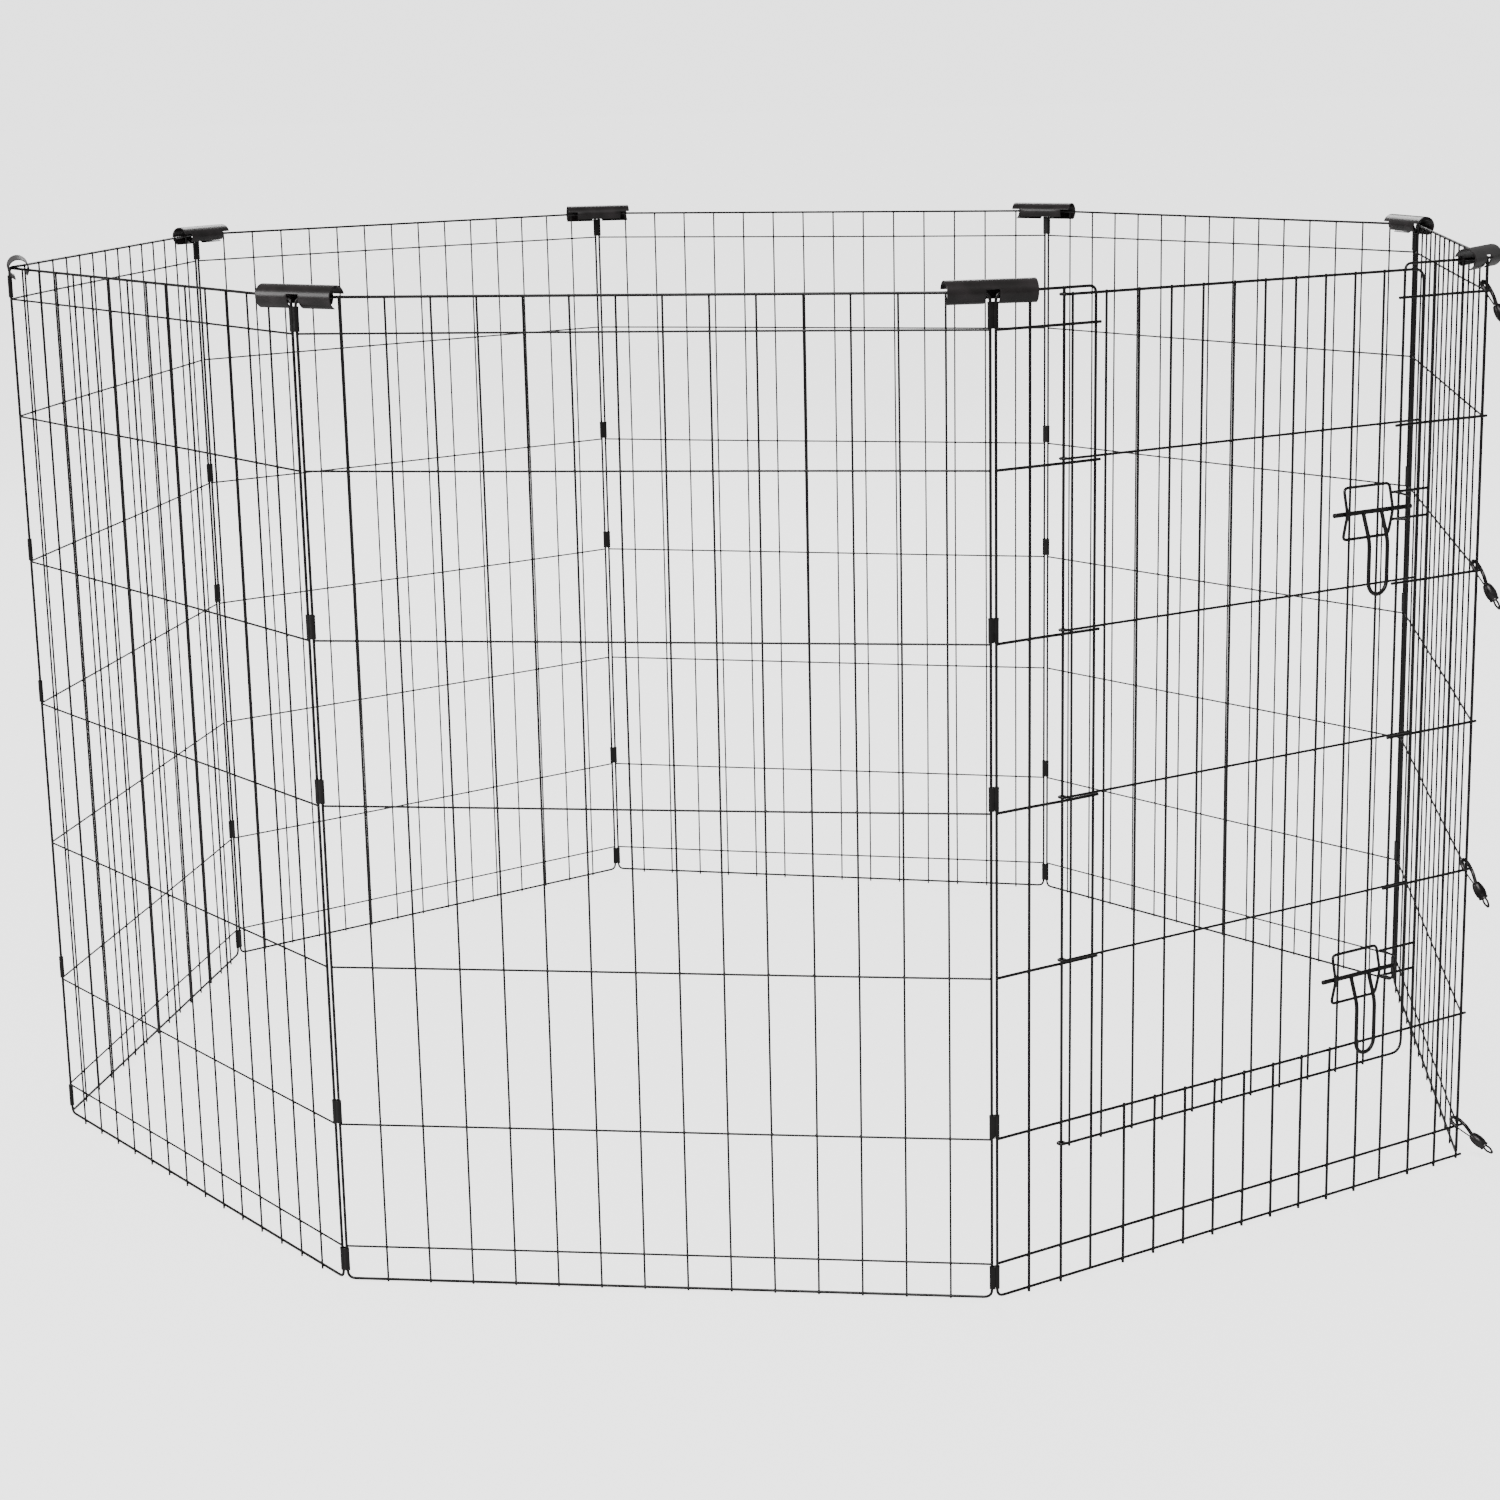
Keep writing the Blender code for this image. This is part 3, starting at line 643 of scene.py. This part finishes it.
def sleeves(corner):
    near, far = corner_posts[corner]
    before, after = (near, far) if corner in "agh" else (far, near)
    middle, turn = (before + after) / 2, heading(before, after)
    heights = [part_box(f"sleeve_{corner}{i}")[0][2] for i in range(1, 5)]
    for i, height in enumerate(heights + [EXTRA_SLEEVE], 1):
        name = f"sleeve_{corner}{i}"
        stands_for = [name] if i < 5 else ()
        finish_piece(
            sleeve_bmesh(), name + "_sheet", joints[f"fold_{corner}"]["child"], WIRE_COAT,
            at(middle, turn, height), stands_for,
        )


for corner in corner_posts:
    sleeves(corner)
print(5 * len(corner_posts), "sleeves,", round(SLEEVE_TALL * 1000, 1), "mm tall")

# %% [markdown]
# An edge cap is a springy piece of tube, split underneath, that is pushed down over the top wires
# of both panels at a corner.  A notch in its outer side lets the posts through, and its inner side
# is cut back at both ends where the wires leave.
# A profile is spun about the cap's axis, the notch's faces are taken out, and the wall is given
# its thickness and a rolled edge.

# %% Edge caps
CAP_R, CAP_WALL, CAP_LENGTH, CAP_INWARDS, NOTCH = 10.75 * MM, 1.1 * MM, 82 * MM, 9.0 * MM, 6.2 * MM
CAP_EXIT = 29 * MM  # the wires leave through the inner side beyond this, measured from the middle


def cap_bmesh():
    """Along X, with the split underneath, a little towards +Y."""
    bm = bmesh.new()
    half = CAP_LENGTH / 2
    side = [half, half - 0.8 * MM, half - 1.6 * MM, CAP_EXIT, NOTCH + 12 * MM, NOTCH + 3 * MM, NOTCH]
    stations = [-x for x in side] + [0] + side[::-1]
    first = math.radians(-40)
    line = [bm.verts.new((x, CAP_R * math.cos(first), CAP_R * math.sin(first))) for x in stations]
    edges = [bm.edges.new(pair) for pair in zip(line, line[1:])]
    bmesh.ops.spin(
        bm, geom=line + edges, cent=(0, 0, 0), axis=(1, 0, 0), angle=math.radians(290), steps=58,
        use_merge=False,
    )
    cut = []
    for face in bm.faces:
        centre = face.calc_center_median()
        for_posts = abs(centre.x) < NOTCH and centre.y < -2 * MM and centre.z < 3 * MM
        for_wires = abs(centre.x) > CAP_EXIT and centre.y > 0 and centre.z < 2.7 * MM
        if for_posts or for_wires:
            cut.append(face)
    bmesh.ops.delete(bm, geom=cut, context="FACES")
    bmesh.ops.recalc_face_normals(bm, faces=bm.faces)
    top = max(bm.faces, key=lambda f: f.calc_center_median().z)
    if top.normal.z < 0:
        bmesh.ops.reverse_faces(bm, faces=bm.faces)
    bmesh.ops.solidify(bm, geom=bm.faces[:], thickness=CAP_WALL)
    rims = [e for e in bm.edges if e.is_manifold and e.calc_face_angle(0) > math.radians(60)]
    bmesh.ops.bevel(
        bm, geom=rims, offset=0.3 * MM, segments=2, profile=0.5, affect="EDGES", clamp_overlap=True,
        material=-1,
    )
    return bm


def edge_cap(corner):
    if corner == "b":
        before, after = posts["door_panel"][1], posts["panel_2"][0]
        turn = HEADING_2 / 2
    else:
        near, far = corner_posts[corner]
        before, after = (near, far) if corner in "agh" else (far, near)
        turn = heading(before, after)
    middle = (before + after) / 2
    inwards = Matrix.Translation((0, CAP_INWARDS, 0))
    body = f"cap_{corner}"
    place = at(middle, turn, TOP) @ inwards
    finish_piece(cap_bmesh(), body + "_tube", body, CAP_COAT, place, [body])


for corner in "abcdefgh":
    edge_cap(corner)
print("eight edge caps,", round(CAP_LENGTH * 1000), "mm long")

# %% [markdown]
# Four snap hooks close the last corner.  Each is a cast body with a hooked nose that goes round
# both posts, a thin sprung gate that closes the hook, and a bent wire eye below to pull it by.
# The body is turned from a half profile with a spin; the rest is wire.

# %% Snap hooks
SNAP_R = 1.9 * MM


def turned_body(bm, outline, steps=20):
    """Spins a half outline of (radius, height) about Z."""
    line = [bm.verts.new((r, 0, z)) for r, z in outline]
    edges = [bm.edges.new(pair) for pair in zip(line, line[1:])]
    bmesh.ops.spin(
        bm, geom=line + edges, cent=(0, 0, 0), axis=(0, 0, 1), angle=math.tau, steps=steps, use_merge=True,
    )


def snap_bmesh():
    bm = bmesh.new()
    reach = 8.6 * MM
    half_turn = [math.pi * i / 12 for i in range(13)]
    arc = [(reach * math.cos(a), 0, -1 * MM + reach * math.sin(a)) for a in half_turn]
    neck = [(0, 0, -21 * MM), (3.2 * MM, 0, -16 * MM), (7.6 * MM, 0, -9 * MM)]
    nose = (-reach, 0, -2.6 * MM)
    smooth = rounded(neck + arc[:1], 4 * MM)[:-1] + [Vector(p) for p in arc + [nose]]
    wire(bm, smooth, SNAP_R, sides=12)
    barrel = [
        (0, -18.2), (2.6, -18.3), (3.6, -18.9), (4.4, -20.6), (5.4, -24), (5.8, -28), (5.5, -32),
        (4.6, -34.6), (4.9, -35.1), (4.9, -36.3), (3.8, -37.0), (0, -37.1),
    ]
    turned_body(bm, [(r * MM, z * MM) for r, z in barrel])
    half_eye = [(3.4, -36), (5.4, -41), (1.6, -46)]
    eye = [(-x * MM, 0, z * MM) for x, z in half_eye] + [(x * MM, 0, z * MM) for x, z in reversed(half_eye)]
    wire(bm, rounded(eye, 2 * MM, closed=True), 1.1 * MM, closed=True)
    return bm


def snap(number):
    """The hook's plane and droop are those of its gate's joint."""
    gate = joints[f"gate_{number}_turn"]
    across = Vector(gate["axis"])
    tangent = Vector((math.cos(HEADING_2 / 2), math.sin(HEADING_2 / 2), 0))
    upward = tangent.cross(across)
    turn = Matrix((tangent, across, upward)).transposed().to_4x4()
    pivot = Vector(gate["pos_m"]) - turn.to_3x3() @ Vector((-4.9 * MM, 0, -18.3 * MM))
    place = Matrix.Translation(pivot) @ turn
    finish_piece(
        snap_bmesh(), f"snap_{number}_body", "snaps", SNAP_STEEL, place, [f"snap_{number}"],
    )
    bm = bmesh.new()
    start = Vector((-4.9 * MM, 0, -18.1 * MM))
    bowed, tip = start + Vector((-2.0 * MM, 0, 7 * MM)), start + Vector((-3.2 * MM, 0, 13 * MM))
    wire(bm, [start, bowed, tip], 0.8 * MM)
    finish_piece(
        bm, f"snap_{number}_gate", f"gate_{number}", SNAP_STEEL, place,
        [f"snap_gate_{number}"],
    )


for number in range(1, 5):
    snap(number)
print("four snap hooks")

# %% [markdown]
# The set is a wide pale floor that meets a pale sky, with big soft lights: one from above and
# behind the camera, one on the left for the long highlights on the wires, and one behind.  A sky
# bright enough to look white would also light every wire grey.  Light Path tells the two apart:
# the camera sees the bright sky and the glowing floor, and the wires are lit by the dim ones.

# %% Floor, light and camera
SKY_ON_THE_PEN, SKY_BEHIND_IT, FLOOR_GLOW = 0.30, 2.6, 2.45
floor_bm = bmesh.new()
bmesh.ops.create_grid(floor_bm, x_segments=1, y_segments=1, size=60)
floor_mesh = bpy.data.meshes.new("floor")
floor_bm.to_mesh(floor_mesh)
floor_bm.free()
floor = bpy.data.objects.new("floor", floor_mesh)
bpy.context.collection.objects.link(floor)
pale = bpy.data.materials.new("pale_floor")
pale.use_nodes = True
floor_nodes, floor_links = pale.node_tree.nodes, pale.node_tree.links
floor_nodes["Principled BSDF"].inputs["Base Color"].default_value = (0.60, 0.60, 0.60, 1)
floor_nodes["Principled BSDF"].inputs["Roughness"].default_value = 0.75
floor_nodes["Principled BSDF"].inputs["Specular IOR Level"].default_value = 0.1
glow = floor_nodes.new("ShaderNodeEmission")
glow.inputs["Strength"].default_value = FLOOR_GLOW
floor_view, lit = floor_nodes.new("ShaderNodeLightPath"), floor_nodes.new("ShaderNodeAddShader")
from_camera = floor_nodes.new("ShaderNodeMixShader")
floor_links.new(floor_nodes["Principled BSDF"].outputs[0], lit.inputs[0])
floor_links.new(glow.outputs[0], lit.inputs[1])
floor_links.new(floor_view.outputs["Is Camera Ray"], from_camera.inputs[0])
floor_links.new(floor_nodes["Principled BSDF"].outputs[0], from_camera.inputs[1])
floor_links.new(lit.outputs[0], from_camera.inputs[2])
floor_links.new(from_camera.outputs[0], floor_nodes["Material Output"].inputs["Surface"])
floor_mesh.materials.append(pale)

world = bpy.data.worlds.new("studio")
world.use_nodes = True
sky_nodes, sky_links = world.node_tree.nodes, world.node_tree.links
sky = sky_nodes["Background"]
sky.inputs["Color"].default_value = (1, 1, 1, 1)
sky.inputs["Strength"].default_value = SKY_ON_THE_PEN
backdrop = sky_nodes.new("ShaderNodeBackground")
backdrop.inputs["Color"].default_value = (1, 1, 1, 1)
backdrop.inputs["Strength"].default_value = SKY_BEHIND_IT
seen = sky_nodes.new("ShaderNodeLightPath")
either = sky_nodes.new("ShaderNodeMixShader")
sky_links.new(seen.outputs["Is Camera Ray"], either.inputs[0])
sky_links.new(sky.outputs[0], either.inputs[1])
sky_links.new(backdrop.outputs[0], either.inputs[2])
sky_links.new(either.outputs[0], sky_nodes["World Output"].inputs["Surface"])
bpy.context.scene.world = world


def soft_light(name, place, size, power):
    light = bpy.data.lights.new(name, "AREA")
    light.shape = "DISK"
    light.size = size
    light.energy = power
    lamp = bpy.data.objects.new(name, light)
    lamp.location = place
    lamp.rotation_euler = (Vector((0, 0, 0.45)) - Vector(place)).to_track_quat("-Z", "Y").to_euler()
    bpy.context.collection.objects.link(lamp)


soft_light("key", (-2.6, -3.2, 4.2), 2.4, 190)
soft_light("side", (-4.5, 1.0, 2.2), 2.0, 90)
soft_light("back", (2.5, 4.0, 3.5), 2.5, 110)

CAMERA_FROM_CORNER_A = Vector((-1.6325, -2.034, 1.1045))
AIM, PITCH_DOWN, ROLL = Vector((0.578, 0.816, 0)), 0.2333, 0.0156
corner_a = door_start - Vector((INSET, 0, 0))
forward = (AIM.normalized() * math.cos(PITCH_DOWN) - Vector((0, 0, 1)) * math.sin(PITCH_DOWN)).normalized()
level = forward.cross(Vector((0, 0, 1))).normalized()
up = level.cross(forward)
right_way = level * math.cos(ROLL) - up * math.sin(ROLL)
up_way = level * math.sin(ROLL) + up * math.cos(ROLL)
lens = bpy.data.cameras.new("camera")
lens.lens, lens.sensor_width = 73.0, 36.0
lens.shift_x, lens.shift_y = -0.0442, 0.0249
camera = bpy.data.objects.new("camera", lens)
camera.matrix_world = Matrix.Translation(corner_a + CAMERA_FROM_CORNER_A) @ Matrix(
    (right_way, up_way, -forward)).transposed().to_4x4()
bpy.context.collection.objects.link(camera)
bpy.context.scene.camera = camera
